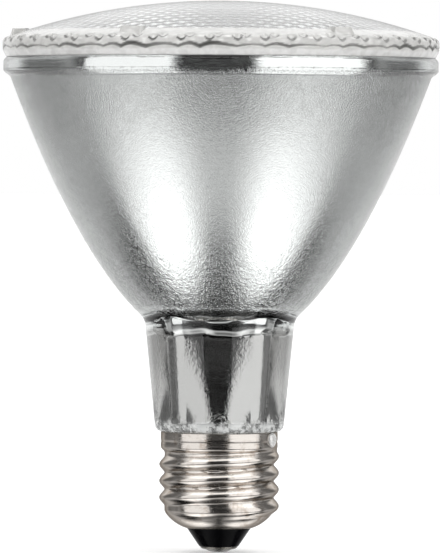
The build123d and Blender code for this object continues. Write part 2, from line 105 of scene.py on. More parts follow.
def ring_points(radius, level, angles):
    """Points round the axis; radius and level are numbers or one value for each angle."""
    radius = np.broadcast_to(radius, angles.shape)
    level = np.broadcast_to(level, angles.shape)
    return np.stack([radius * np.cos(angles), radius * np.sin(angles), level], axis=-1)


def band_faces(index):
    """Faces between neighbouring rows of point numbers, closed round the axis."""
    following = np.roll(index, -1, axis=1)
    quads = np.stack([index[:-1], following[:-1], following[1:], index[1:]], axis=-1)
    return [tuple(dict.fromkeys(quad)) for quad in quads.reshape(-1, 4).tolist()]


def loop_faces(rows):
    """Faces through rings of points, the last ring joined to the first."""
    index = np.arange(len(rows) * len(rows[0])).reshape(len(rows), -1)
    return band_faces(np.concatenate([index, index[:1]]))


def widening_faces(coarse, fine, upward):
    """Faces between a ring and one of several times as many points, which is above it if upward."""
    ratio = len(fine) // len(coarse)
    faces = []
    for i, point in enumerate(coarse):
        following = coarse[(i + 1) % len(coarse)]
        first = i * ratio - ratio // 2
        for j in range(first, first + ratio):
            near, far = fine[j % len(fine)], fine[(j + 1) % len(fine)]
            faces.append((point, far, near) if upward else (near, far, point))
        last = fine[(first + ratio) % len(fine)]
        faces.append((point, following, last) if upward else (last, following, point))
    return faces


def turned(outline, count, loop=True):
    """Points and faces of an outline turned round the axis, anticlockwise with the radius to the right."""
    angles = around(count)
    points = []
    index = []
    for radius, level in outline:
        first = len(points)
        if radius == 0:
            points.append((0.0, 0.0, level))
            index.append(np.full(count, first))
        else:
            points.extend(ring_points(radius, level, angles).tolist())
            index.append(np.arange(first, first + count))
    if loop:
        index.append(index[0])
    return points, band_faces(np.array(index))


def add_piece(name, points, faces, materials, replaced, bands=None, crease=35):
    """Puts a mesh piece on the bulb in place of a CAD node; bands gives each face's material number."""
    mesh = bpy.data.meshes.new(name)
    mesh.from_pydata((np.array(points) * MM).tolist(), [], faces)
    for material in materials:
        mesh.materials.append(material)
    if bands is not None:
        mesh.polygons.foreach_set("material_index", bands)
    mesh.shade_smooth()
    mesh.set_sharp_from_angle(angle=radians(crease))
    mesh.validate()
    piece = bpy.data.objects.new(name, mesh)
    bpy.context.scene.collection.objects.link(piece)
    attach(piece, "root")
    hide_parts(replaced)
    return piece


# Material helpers

def add_node(tree, kind, inputs=None, **settings):
    """Adds a shader node; an input is a value or another node's output."""
    made = tree.nodes.new("ShaderNode" + kind)
    for key, value in settings.items():
        setattr(made, key, value)
    for key, value in (inputs or {}).items():
        if isinstance(value, bpy.types.NodeSocket):
            tree.links.new(value, made.inputs[key])
        else:
            made.inputs[key].default_value = value
    return made


def new_material(name, **values):
    """A material with constant values set on its shader, and the tree to add detail to."""
    material = bpy.data.materials.new(name)
    material.use_nodes = True
    tree = material.node_tree
    shader = tree.nodes["Principled BSDF"]
    for key, value in values.items():
        shader.inputs[key.replace("_", " ")].default_value = value
    return material, tree, shader


def place(tree):
    """Position on the part, in metres."""
    return add_node(tree, "TexCoord").outputs["Object"]


def stretched(tree, x, y, z):
    """Position with each axis scaled, for streaks."""
    inputs = {"Vector": place(tree), "Scale": (x, y, z)}
    return add_node(tree, "Mapping", inputs, vector_type="POINT").outputs["Vector"]


def height(tree):
    """Height on the part, in metres."""
    return add_node(tree, "SeparateXYZ", {"Vector": place(tree)}).outputs["Z"]


def reach(tree):
    """Distance from the lamp axis, in metres."""
    flat = stretched(tree, 1.0, 1.0, 0.0)
    return add_node(tree, "VectorMath", {0: flat}, operation="LENGTH").outputs["Value"]


def noise(tree, grain_mm, detail=2.0, roughness=0.5, vector=None):
    """Noise from 0 to 1 with grains of a size."""
    inputs = {
        "Vector": vector or place(tree),
        "Scale": 1 / (grain_mm * MM),
        "Detail": detail,
        "Roughness": roughness,
    }
    return add_node(tree, "TexNoise", inputs).outputs["Fac"]


def remap(tree, value, low, high, to_low=0.0, to_high=1.0):
    """Value moved from one range to another, eased at both ends."""
    keys = ("Value", "From Min", "From Max", "To Min", "To Max")
    inputs = dict(zip(keys, (value, low, high, to_low, to_high)))
    return add_node(tree, "MapRange", inputs, interpolation_type="SMOOTHSTEP").outputs["Result"]


def over(tree, measure, zone, below=0.0, above=1.0):
    """Value that eases from one to another over a zone in millimetres."""
    return remap(tree, measure, zone[0] * MM, zone[1] * MM, below, above)


def calc(tree, operation, first, second=0.0):
    """Result of an operation on values or outputs."""
    return add_node(tree, "Math", {0: first, 1: second}, operation=operation).outputs[0]


def times(tree, first, second):
    """Product of values or outputs."""
    return calc(tree, "MULTIPLY", first, second)


def blended(tree, factor, first, second):
    """Colour between two, by a factor."""
    made = add_node(tree, "Mix", {"Factor": factor}, data_type="RGBA")
    for key, value in ((6, first), (7, second)):
        if isinstance(value, bpy.types.NodeSocket):
            tree.links.new(value, made.inputs[key])
        else:
            made.inputs[key].default_value = (*value, 1.0)
    return made.outputs[2]


def raise_surface(tree, shader, relief, depth_mm):
    """Bumps a shader's surface by a relief from 0 to 1 of some depth."""
    inputs = {"Height": relief, "Distance": depth_mm * MM, "Strength": 1.0}
    bump = add_node(tree, "Bump", inputs)
    tree.links.new(bump.outputs["Normal"], shader.inputs["Normal"])


def feed(shader, key, output):
    """Links an output to a shader's input."""
    shader.id_data.links.new(output, shader.inputs[key])


# Materials of the glass and the mirror; a zone is a pair of heights or radii

GLASS_IOR = 1.48
STIPPLE_FOOT_ZONE = (51.5, 54.0)
STIPPLE_TOP_ZONE = (104.6, 105.2)
STIPPLE_DEPTH = 0.16
FOOT_GRAIN_ZONE = (54.0, 72.0)
TOP_GRAIN_ZONE = (84.0, 104.0)
FOOT_GRAIN = 0.3
MIDDLE_GRAIN = 0.2
TOP_GRAIN = 0.8
FLAKE_ZONE = (27.6, 29.4)
COAT_END_ZONE = (28.05, 28.35)
COAT_RAGGED = 6.0
DULL_ZONE = (47.0, 50.5)
WRINKLE_ZONE = (46.0, 48.0)
WRINKLE = 1.3
CRUMPLE_ZONE = (29.5, 31.5)
CRUMPLE = 4.5
LAND_ZONE = (104.6, 105.0)
SILVER_RELIEF = 0.03
POLISH_ZONE = (52.0, 53.5)
SATIN_ZONE = (56.0, 88.0)
BOWL_FOOT_SATIN = 0.05
BOWL_TOP_SATIN = 0.19
PALE_RIM_ZONE = (42.0, 43.6)
PALE_RIM_SATIN = 0.14
LOW_RIM_ZONE = (109.0, 109.6)
# Name of the point attribute that carries the lens rim's painted shade
EDGE_SHADE = "edge_shade"


def stippled_glass():
    """Pressed glass: orange peel on the bowl, smooth on the neck and the rim, pale flakes at its foot."""
    material, tree, shader = new_material(
        "reflector_glass", IOR=GLASS_IOR, Base_Color=(0.955, 0.97, 0.96, 1.0)
    )
    z = height(tree)
    below_rim = over(tree, z, STIPPLE_TOP_ZONE, 1.0, 0.0)
    on_bowl = times(tree, over(tree, z, STIPPLE_FOOT_ZONE), below_rim)
    fine = remap(tree, noise(tree, 0.32, 0.0), 0.48, 0.74)
    coarse = remap(tree, noise(tree, 0.7, 0.0), 0.5, 0.74)
    foot_grain = over(tree, z, FOOT_GRAIN_ZONE, FOOT_GRAIN, MIDDLE_GRAIN)
    top_grain = over(tree, z, TOP_GRAIN_ZONE, MIDDLE_GRAIN, TOP_GRAIN)
    fine_relief = times(tree, fine, calc(tree, "MAXIMUM", foot_grain, top_grain))
    coarse_relief = times(tree, coarse, over(tree, z, FOOT_GRAIN_ZONE, FOOT_GRAIN, 0.0))
    relief = calc(tree, "ADD", fine_relief, coarse_relief)
    raise_surface(tree, shader, times(tree, relief, on_bowl), STIPPLE_DEPTH)
    satin = remap(tree, fine, 0.0, 1.0, 0.03, 0.1)
    feed(shader, "Roughness", times(tree, satin, on_bowl))
    flakes = remap(tree, noise(tree, 1.3, 3.0, 0.65), 0.42, 0.56, 0.12, 0.62)
    flakes = times(tree, flakes, over(tree, z, FLAKE_ZONE, 1.0, 0.0))
    feed(shader, "Transmission Weight", calc(tree, "SUBTRACT", 1.0, flakes))
    return material


def mirror_silver():
    """Aluminised inner faces: satin on the bowl, dull and wrinkled in the neck, ragged at its foot."""
    material, tree, shader = new_material("mirror_silver", IOR=GLASS_IOR)
    z = height(tree)
    ragged = calc(tree, "SUBTRACT", noise(tree, 1.6, 3.0, 0.65), 0.5)
    ragged = times(tree, ragged, COAT_RAGGED * MM)
    coated = over(tree, calc(tree, "ADD", z, ragged), COAT_END_ZONE)
    feed(shader, "Metallic", coated)
    crumbs = remap(tree, noise(tree, 1.1, 3.0, 0.6), 0.42, 0.5)
    cement = blended(tree, crumbs, (0.8, 0.79, 0.76), (0.99, 0.985, 0.97))
    in_neck = over(tree, z, DULL_ZONE, 1.0, 0.0)
    silver = blended(tree, in_neck, (0.86, 0.87, 0.87), (0.52, 0.515, 0.51))
    feed(shader, "Base Color", blended(tree, coated, cement, silver))
    wrinkle = over(tree, z, WRINKLE_ZONE, WRINKLE, 0.0)
    wrinkle = times(tree, noise(tree, 0.7, 3.0, 0.65), wrinkle)
    crumple = over(tree, z, CRUMPLE_ZONE, CRUMPLE, 0.0)
    crumple = times(tree, noise(tree, 1.5, 2.0, 0.6), crumple)
    on_land = over(tree, z, LAND_ZONE)
    rolled = noise(tree, 2.0, 3.0, 0.6, stretched(tree, 0.3, 0.3, 5.0))
    rolled = times(tree, rolled, on_land)
    relief = calc(tree, "ADD", calc(tree, "ADD", wrinkle, crumple), rolled)
    raise_surface(tree, shader, relief, SILVER_RELIEF)
    polished = remap(tree, noise(tree, 2.0), 0.3, 0.7, 0.04, 0.1)
    aside = calc(tree, "MAXIMUM", over(tree, z, POLISH_ZONE, 1.0, 0.0), on_land)
    satin = over(tree, z, SATIN_ZONE, BOWL_FOOT_SATIN, BOWL_TOP_SATIN)
    satin = times(tree, calc(tree, "SUBTRACT", 1.0, aside), satin)
    feed(shader, "Roughness", calc(tree, "MAXIMUM", satin, polished))
    return material


def lens_glass():
    """Clear pressed glass with faint flow marks; its rim pale, with painted shade at the edges of the
    dimples and along the groove.
    """
    material, tree, shader = new_material("lens_glass", IOR=GLASS_IOR)
    raise_surface(tree, shader, noise(tree, 5.0, 1.0), 0.04)
    at_rim = over(tree, reach(tree), PALE_RIM_ZONE)
    haze = remap(tree, noise(tree, 7.0, 2.0), 0.4, 0.75, 0.0, 0.05)
    haze = calc(tree, "ADD", haze, times(tree, at_rim, PALE_RIM_SATIN))
    feed(shader, "Roughness", haze)
    # The rim's painted shade, kept as a point attribute, makes the glass milky there
    shade = add_node(tree, "Attribute", attribute_name=EDGE_SHADE).outputs["Fac"]
    milky = remap(tree, noise(tree, 2.2, 2.0), 0.35, 0.65, 0.6, 0.72)
    milky = calc(tree, "MAXIMUM", milky, times(tree, shade, 0.95))
    clear = calc(tree, "SUBTRACT", 1.0, times(tree, at_rim, milky))
    feed(shader, "Transmission Weight", clear)
    low_down = over(tree, height(tree), LOW_RIM_ZONE, 1.0, 0.0)
    pale = blended(tree, low_down, (0.77, 0.765, 0.745), (0.9, 0.895, 0.885))
    # Painted shade: near-black colour where the attribute is high
    pale = blended(tree, shade, pale, (0.08, 0.08, 0.075))
    feed(shader, "Base Color", blended(tree, at_rim, (0.995, 1.0, 0.998), pale))
    return material


def quartz():
    """Clear quartz of the burner's outer bulb."""
    material, tree, shader = new_material(
        "quartz", Transmission_Weight=1.0, IOR=1.46, Base_Color=(0.97, 0.975, 0.98, 1.0)
    )
    raise_surface(tree, shader, noise(tree, 3.0, 1.0), 0.02)
    feed(shader, "Roughness", remap(tree, noise(tree, 2.5), 0.45, 0.7, 0.0, 0.06))
    return material


def black_glass():
    """Poured black glass: glossy, a little wavy, with fine dust in its gloss."""
    material, tree, shader = new_material("black_glass", IOR=1.5, Specular_IOR_Level=0.03)
    tint = blended(tree, noise(tree, 1.5, 3.0), (0.001, 0.001, 0.0012), (0.005, 0.005, 0.006))
    feed(shader, "Base Color", tint)
    feed(shader, "Roughness", remap(tree, noise(tree, 0.9, 3.0), 0.35, 0.7, 0.1, 0.25))
    raise_surface(tree, shader, noise(tree, 2.6, 1.5), 0.08)
    return material


# Materials of the metals

def nickel_plate():
    """Bright nickel plate, dark at its edges, with fine lines round the shell and tarnish in places."""
    material, tree, shader = new_material(
        "nickel_plate", Metallic=1.0, Specular_Tint=(0.3, 0.28, 0.26, 1.0)
    )
    tarnish = remap(tree, noise(tree, 2.6, 4.0, 0.6), 0.48, 0.74)
    feed(shader, "Base Color", blended(tree, tarnish, (0.73, 0.685, 0.64), (0.52, 0.455, 0.4)))
    lines = noise(tree, 0.9, 3.0, 0.6, stretched(tree, 0.25, 0.25, 5.0))
    feed(shader, "Roughness", remap(tree, lines, 0.3, 0.75, 0.12, 0.26))
    raise_surface(tree, shader, lines, 0.006)
    return material


def solder(name, colour, metallic):
    """Soft solder: smooth, greyish, with a faint crystal grain."""
    material, tree, shader = new_material(name, Metallic=metallic)
    cloud = noise(tree, 1.1, 3.0)
    dull = tuple(0.72 * value for value in colour)
    feed(shader, "Base Color", blended(tree, cloud, colour, dull))
    feed(shader, "Roughness", remap(tree, cloud, 0.3, 0.7, 0.22, 0.4))
    raise_surface(tree, shader, noise(tree, 0.45, 2.0), 0.02)
    return material


def drawn_metal(name, colour, dark, roughness):
    """Drawn wire or pressed sheet: a dull metal with fine grain and darker patches."""
    material, tree, shader = new_material(name, Metallic=1.0)
    patches = noise(tree, 1.4, 4.0, 0.6)
    feed(shader, "Base Color", blended(tree, remap(tree, patches, 0.4, 0.7), colour, dark))
    grain = remap(tree, noise(tree, 0.3, 3.0), 0.3, 0.7, roughness - 0.08, roughness + 0.1)
    feed(shader, "Roughness", grain)
    raise_surface(tree, shader, noise(tree, 0.22, 2.0), 0.008)
    return material


# Materials of the ceramics, the cement and the sleeve

def mineral(name, colour, shade, grain_mm, depth_mm, glow=0.0):
    """Ceramic or cement: speckled, matt, with a pitted face and some light let in."""
    material, tree, shader = new_material(
        name, Subsurface_Weight=glow, Subsurface_Radius=(0.9, 0.8, 0.7), Subsurface_Scale=0.001
    )
    speckle = remap(tree, noise(tree, grain_mm, 4.0, 0.65), 0.35, 0.7)
    feed(shader, "Base Color", blended(tree, speckle, colour, shade))
    feed(shader, "Roughness", remap(tree, noise(tree, 2 * grain_mm), 0.3, 0.7, 0.6, 0.85))
    raise_surface(tree, shader, noise(tree, grain_mm, 3.0), depth_mm)
    return material


def braided_sleeve():
    """Braided glass fibre: crossing diagonal strands."""
    material, tree, shader = new_material("sleeve_braid", Sheen_Weight=0.3)
    strands = []
    for lean in (1.0, -1.0):
        inputs = {"Vector": stretched(tree, 1.0, lean, 0.8), "Scale": 420.0, "Distortion": 0.6}
        strands.append(add_node(tree, "TexWave", inputs, bands_direction="DIAGONAL").outputs["Fac"])
    weave = calc(tree, "MAXIMUM", strands[0], strands[1])
    feed(shader, "Base Color", blended(tree, weave, (0.62, 0.58, 0.5), (0.88, 0.86, 0.8)))
    feed(shader, "Roughness", remap(tree, weave, 0.0, 1.0, 0.85, 0.6))
    raise_surface(tree, shader, weave, 0.08)
    return material


# Lens: domed outside, moulded lenslets inside, dimples and lugs at its rim

LENS_RIM_RADIUS = 47.7
LENS_SEAM_RADIUS = 46.9
LENS_SKIRT_RADIUS = 43.6
LENS_INNER_RADIUS = 42.6
LENS_CORNER_Z = 112.028
LENS_APEX_Z = 120.428
LENS_THICKNESS = 3.6
LENS_FLARE_RISE = 1.6
LENS_SKIRT_RISE = 2.0
CORNER_END_RADIUS = 45.6
DOME_RISE = LENS_APEX_Z - LENS_CORNER_Z
DOME_RADIUS = (DOME_RISE**2 + LENS_RIM_RADIUS**2) / (2 * DOME_RISE)
DOME_CENTRE_Z = LENS_APEX_Z - DOME_RADIUS
DOME_EDGE_RADIUS = 45.3
DOME_EDGE_RINGS = (45.0, 41.5, -0.25)
DOME_RINGS = 22
RIM_SPACING = 0.36
SEAM_GAP = 0.02
LUG_ANGLES = [radians(angle) for angle in (-175.0, -115.0, -55.0)]
LUG_INNER_RADIUS = 42.0
LUG_OUTER_RADIUS = 46.0
LUG_WIDTH = 5.0
LUG_TOP_Z = 114.13
LUG_EDGE = 0.35
DIMPLE_COUNT = 48
DIMPLE_RADIUS = 1.05
DIMPLE_DEPTH = 0.4
DIMPLE_FLOOR = 0.55
DIMPLE_EDGE = 0.8
DIMPLE_JITTER = 0.14
DIMPLE_ROW_HEIGHTS = (112.0, 112.4)
DIMPLE_INNER_LIMIT = 45.5
UNEVEN_SEED = 12.9898
GROOVE_COUNT = 50
GROOVE_Z = 109.75
GROOVE_RISE = 0.7
GROOVE_HALF_HEIGHT = 0.4
GROOVE_DEPTH = 0.35
SHADE_HALF_WIDTH = 0.4
SHADE_INNER_RADIUS = LENS_SEAM_RADIUS - 1.6
LENSLET_PITCH = 2.8
LENSLET_DEPTH = 0.6
LENSLET_STEPS = 6
LENSLET_MARGIN = 0.5
LENSLET_FADE = (LENS_INNER_RADIUS - 1.0, LENS_INNER_RADIUS - 0.2)
FINE_COLUMNS = 960
COARSE_COLUMNS = 240


def dome_height(radius, sphere=DOME_RADIUS):
    """Height of a dome about the lens's centre, at a radius."""
    return DOME_CENTRE_Z + np.sqrt(sphere**2 - radius**2)


def soft_step(value, low, high):
    """0 below a range, 1 above it, eased between."""
    t = np.clip((value - low) / (high - low), 0, 1)
    return t * t * (3 - 2 * t)


def lens_rim_outline():
    """Outline of the lens's rim, from the skirt's foot out, up over the corner and in along the dome."""
    base = SEAM_Z + SEAM_GAP
    corner = eased(
        [
            (LENS_SKIRT_RADIUS, base, 0.3),
            (LENS_SEAM_RADIUS, base, 0.25),
            (LENS_RIM_RADIUS, base + LENS_FLARE_RISE, 0.6),
            (LENS_RIM_RADIUS, LENS_CORNER_Z, 1.0),
            (CORNER_END_RADIUS, dome_height(CORNER_END_RADIUS), 0),
            (LENS_INNER_RADIUS, base + LENS_SKIRT_RISE, 0),
        ],
        steps=8,
    )[:-1]
    dome_radii = np.concatenate([[DOME_EDGE_RADIUS], np.arange(*DOME_EDGE_RINGS)])
    dome = np.stack([dome_radii, dome_height(dome_radii)], axis=-1)
    return spaced(np.concatenate([corner, dome]), RIM_SPACING)


def rim_row(outline, row, angles):
    """One ring of the lens's rim, pressed in by dimples and lifted by lugs, and the painted shade at the
    dimples' lower edges and along the groove.
    """
    radius, level = outline[row]
    along = outline[min(row + 1, len(outline) - 1)] - outline[max(row - 1, 0)]
    outward = np.array([along[1], -along[0]]) / np.linalg.norm(along)
    press = np.zeros_like(angles)
    shade = np.zeros_like(angles)
    pitch = tau / DIMPLE_COUNT
    too_far_in = (outline[:, 0] < DIMPLE_INNER_LIMIT) * 10
    for number, dimple_z in enumerate(DIMPLE_ROW_HEIGHTS):
        near = outline[np.argmin(abs(outline[:, 1] - dimple_z) + too_far_in)]
        place_on = np.mod(angles + number * pitch / 2, tau) / pitch
        uneven = np.sin(UNEVEN_SEED * (np.floor(place_on) + number * DIMPLE_COUNT))
        across = (np.mod(place_on, 1) - 0.5 - DIMPLE_JITTER * uneven) * pitch * radius
        up = np.linalg.norm(outline[row] - near) * np.sign(level - near[1])
        away = np.hypot(across, up)
        press += 1 - soft_step(away, DIMPLE_RADIUS * DIMPLE_FLOOR, DIMPLE_RADIUS)
        # Painted shade: a dark arc along the lower edge of each dimple, in place of the dark its glass
        # shows
        from_edge = abs(away - DIMPLE_RADIUS * DIMPLE_EDGE)
        edge = 1 - soft_step(from_edge, SHADE_HALF_WIDTH / 2, SHADE_HALF_WIDTH)
        below = soft_step(-up / np.maximum(away, 0.01), -0.3, 0.5)
        edge *= below * (0.8 + 0.2 * uneven)
        shade = np.maximum(shade, edge)
    lift = np.zeros_like(angles)
    for lug_angle in LUG_ANGLES:
        aside = abs((np.mod(angles - lug_angle + pi, tau) - pi) * radius)
        on_lug = 1 - soft_step(aside, LUG_WIDTH / 2 - LUG_EDGE, LUG_WIDTH / 2)
        on_lug *= soft_step(radius, LUG_INNER_RADIUS, LUG_INNER_RADIUS + LUG_EDGE)
        on_lug *= 1 - soft_step(radius, LUG_OUTER_RADIUS - LUG_EDGE, LUG_OUTER_RADIUS)
        lift += on_lug * (LUG_TOP_Z - level) * (level > LENS_CORNER_Z)
    press *= DIMPLE_DEPTH * (lift == 0)
    if radius > LENS_SEAM_RADIUS:
        bend = np.sin(7 * angles) * np.sin(11 * angles + 1)
        scallop = abs(np.sin(GROOVE_COUNT / 2 * angles + bend))
        groove_z = GROOVE_Z + GROOVE_RISE * (0.8 + 0.3 * bend) * scallop
        press += GROOVE_DEPTH * (1 - soft_step(abs(level - groove_z), 0.0, GROOVE_HALF_HEIGHT))
        # Painted shade: a dark scalloped line along the groove, in place of the reflector's rim seen dark
        # through the glass
        half_width = SHADE_HALF_WIDTH * (1.0 + 0.7 * bend)
        painted_groove_shade = 1 - soft_step(abs(level - groove_z), half_width / 2, half_width)
        shade = np.maximum(shade, painted_groove_shade * (0.7 + 0.3 * bend))
    points = ring_points(radius - press * outward[0], level - press * outward[1] + lift, angles)
    return points, shade * (lift == 0) * (radius > SHADE_INNER_RADIUS)


def lenslet_disc(ring):
    """Points and downward faces of the lens's inner face inside a ring of points."""
    spacing = LENSLET_PITCH / LENSLET_STEPS
    span = int(LENS_INNER_RADIUS / spacing * 1.2)
    rows, columns = np.meshgrid(np.arange(-span, span + 1), np.arange(-span, span + 1))
    x = (columns + rows / 2).ravel() * spacing
    y = (rows * sqrt(3) / 2).ravel() * spacing
    inside = np.hypot(x, y) < LENS_INNER_RADIUS - LENSLET_MARGIN * spacing
    spots = [Vector(spot) for spot in zip(x[inside], y[inside])]
    border = [Vector(point[:2]) for point in ring]
    edges = [(i, (i + 1) % len(border)) for i in range(len(border))]
    flat, _, faces, *_ = delaunay_2d_cdt(border + spots, edges, [], 1, 1e-6)
    flat = np.array(flat)
    radius = np.hypot(flat[:, 0], flat[:, 1])
    level = dome_height(radius, DOME_RADIUS - LENS_THICKNESS)
    cell_row = np.round(flat[:, 1] / (LENSLET_PITCH * sqrt(3) / 2))
    nearest = np.full(len(flat), 1e9)
    for row in (cell_row - 1, cell_row, cell_row + 1):
        centre_y = row * LENSLET_PITCH * sqrt(3) / 2
        shift = row / 2 * LENSLET_PITCH
        centre_x = np.round((flat[:, 0] - shift) / LENSLET_PITCH) * LENSLET_PITCH + shift
        nearest = np.minimum(nearest, np.hypot(flat[:, 0] - centre_x, flat[:, 1] - centre_y))
    bulge = 1 - (nearest / (LENSLET_PITCH / sqrt(3))) ** 2
    level -= LENSLET_DEPTH * bulge * (1 - soft_step(radius, *LENSLET_FADE))
    return np.column_stack([flat, level]), [tuple(reversed(face)) for face in faces]


def build_lens():
    """The lens as one closed mesh."""
    coarse_angles, fine_angles = around(COARSE_COLUMNS), around(FINE_COLUMNS)
    inner_z = dome_height(LENS_INNER_RADIUS, DOME_RADIUS - LENS_THICKNESS)
    inner_ring = ring_points(LENS_INNER_RADIUS, inner_z, coarse_angles)
    points, faces = lenslet_disc(inner_ring)
    points = points.tolist()
    outline = lens_rim_outline()
    shades = [np.zeros(len(points))]
    fine_index = []
    for row in range(len(outline)):
        fine_index.append(np.arange(len(points), len(points) + FINE_COLUMNS))
        ring, shade = rim_row(outline, row, fine_angles)
        points.extend(ring.tolist())
        shades.append(shade)
    dome_index = []
    for radius in np.concatenate([np.linspace(outline[-1, 0] - 0.8, 3.0, DOME_RINGS), [1.0]]):
        dome_index.append(np.arange(len(points), len(points) + COARSE_COLUMNS))
        points.extend(ring_points(radius, dome_height(radius), coarse_angles).tolist())
    dome_index.append(np.full(COARSE_COLUMNS, len(points)))
    points.append((0.0, 0.0, LENS_APEX_Z))
    faces += widening_faces(list(range(COARSE_COLUMNS)), fine_index[0].tolist(), upward=True)
    faces += band_faces(np.array(fine_index))
    faces += widening_faces(dome_index[0].tolist(), fine_index[-1].tolist(), upward=False)
    faces += band_faces(np.array(dome_index))
    lens = add_piece("lens", points, faces, [lens_glass()], "front_lens")
    # Painted shade of the rim, stored on the points for the lens's material
    shades = np.concatenate(shades)
    edges = lens.data.attributes.new(EDGE_SHADE, "FLOAT", "POINT")
    edges.data.foreach_set("value", np.pad(shades, (0, len(points) - len(shades))))


# Reflector: bowl, rim and neck in one piece of glass, silvered inside, with flats in the neck

SPIGOT_RADIUS = 10.45
SPIGOT_BORE_RADIUS = 8.25
SPIGOT_FOOT_Z = 17.35
NECK_FOOT_RADIUS = 14.0
THROAT_RADIUS = 14.4
THROAT_EASING = 1.55
BOWL_END_RADIUS = 43.15
MIRROR_EDGE_Z = 104.728
MIRROR_EDGE_RADIUS = sqrt(4 * FOCAL_LENGTH * (MIRROR_EDGE_Z - MIRROR_VERTEX_Z))
REFLECTOR_RIM_RADIUS = 47.5
REFLECTOR_SEAM_RADIUS = 46.9
RIM_FOOT_Z = 104.928
FLAT_COUNT = 4
FLAT_HALF_ANGLE = radians(34.25)
BEVEL_HALF_ANGLE = radians(10.75)
FLAT_TURN = radians(-1.0)
FLAT_FOOT_REACH = 11.4
FLAT_TOP_REACH = 13.2
FLAT_TOP_Z = 60.045
FLAT_STEPS = 69
BEVEL_STEPS = 21
FLAT_TOP_PILLOW = 0.54
FLAT_FOOT_PILLOW = 1.45
PILLOW_POWER = 4
WAVE_COUNT = 6
WAVE_TURN = radians(-20.0)
WAVE_RISE = 0.65
RIPPLE_COUNT = 17
RIPPLE_RISE = 0.2
THROAT_ROUND = 0.8
BEVEL_PILLOW = 2.1
LIP_FOOT_Z = 47.8
LIP_HEIGHT = 1.1
LIP_SLOPE = 0.34
FLARE_SLOPE = 0.15
LAND_GROOVES = ((107.5, 0.09), (105.3, 0.035))
LAND_GROOVE_HALF_HEIGHT = 0.3
BOWL_STEPS = 64
WALL_SPACING = 1.45
LAND_STEPS = 29
MIRROR_STEPS = 57
LIP_STEPS = 11
JUNCTION_TRIES = 20
NECK_STEPS = 41
BORE_STEPS = 6


def mirror_height(radius):
    """Height of the mirror at a radius."""
    return MIRROR_VERTEX_Z + radius**2 / (4 * FOCAL_LENGTH)


def wall_point(radius):
    """Point of the outer wall, square through the glass from the mirror at a radius."""
    slope = radius / (2 * FOCAL_LENGTH)
    across = GLASS_WALL / hypot(1, slope)
    return radius + across * slope, mirror_height(radius) - across


def flat_angles():
    """Angles round the neck, how near the axis its straight facets lie, and which of them are bevels."""
    angles, nearness, bevels = [], [], []
    for flat in range(FLAT_COUNT):
        middle = tau / FLAT_COUNT * flat - pi / 2 + FLAT_TURN
        for centre, half, steps in (
            (middle, FLAT_HALF_ANGLE, FLAT_STEPS),
            (middle + pi / FLAT_COUNT, BEVEL_HALF_ANGLE, BEVEL_STEPS),
        ):
            aside = np.linspace(-half, half, steps + 1)[:-1]
            angles.append(centre + aside)
            nearness.append(cos(half) / np.cos(aside))
            bevels.append(np.full(steps, half == BEVEL_HALF_ANGLE))
    return np.concatenate(angles), np.concatenate(nearness), np.concatenate(bevels)


def flat_reach(level):
    """Radius of the corners between the neck's flats, at a height."""
    share = (level - CAVITY_FLOOR_Z) / (FLAT_TOP_Z - CAVITY_FLOOR_Z)
    return FLAT_FOOT_REACH + (FLAT_TOP_REACH - FLAT_FOOT_REACH) * share


def neck_radius(level, nearness, bevels, wave):
    """Radius of the neck's inner face: a wavy lip, flats below it that grow rounder towards the foot."""
    share = np.clip((FLAT_TOP_Z - level) / (FLAT_TOP_Z - CAVITY_FLOOR_Z), 0, 1)
    pillow = FLAT_TOP_PILLOW + (FLAT_FOOT_PILLOW - FLAT_TOP_PILLOW) * share**PILLOW_POWER
    pillow = np.where(bevels, BEVEL_PILLOW, pillow)
    above = np.clip(level - LIP_FOOT_Z - wave / 2, 0, None)
    flare = LIP_SLOPE * np.minimum(above, LIP_HEIGHT) + FLARE_SLOPE * np.clip(above - LIP_HEIGHT, 0, None)
    return flat_reach(level) * (nearness + (1 - nearness) * pillow) + flare


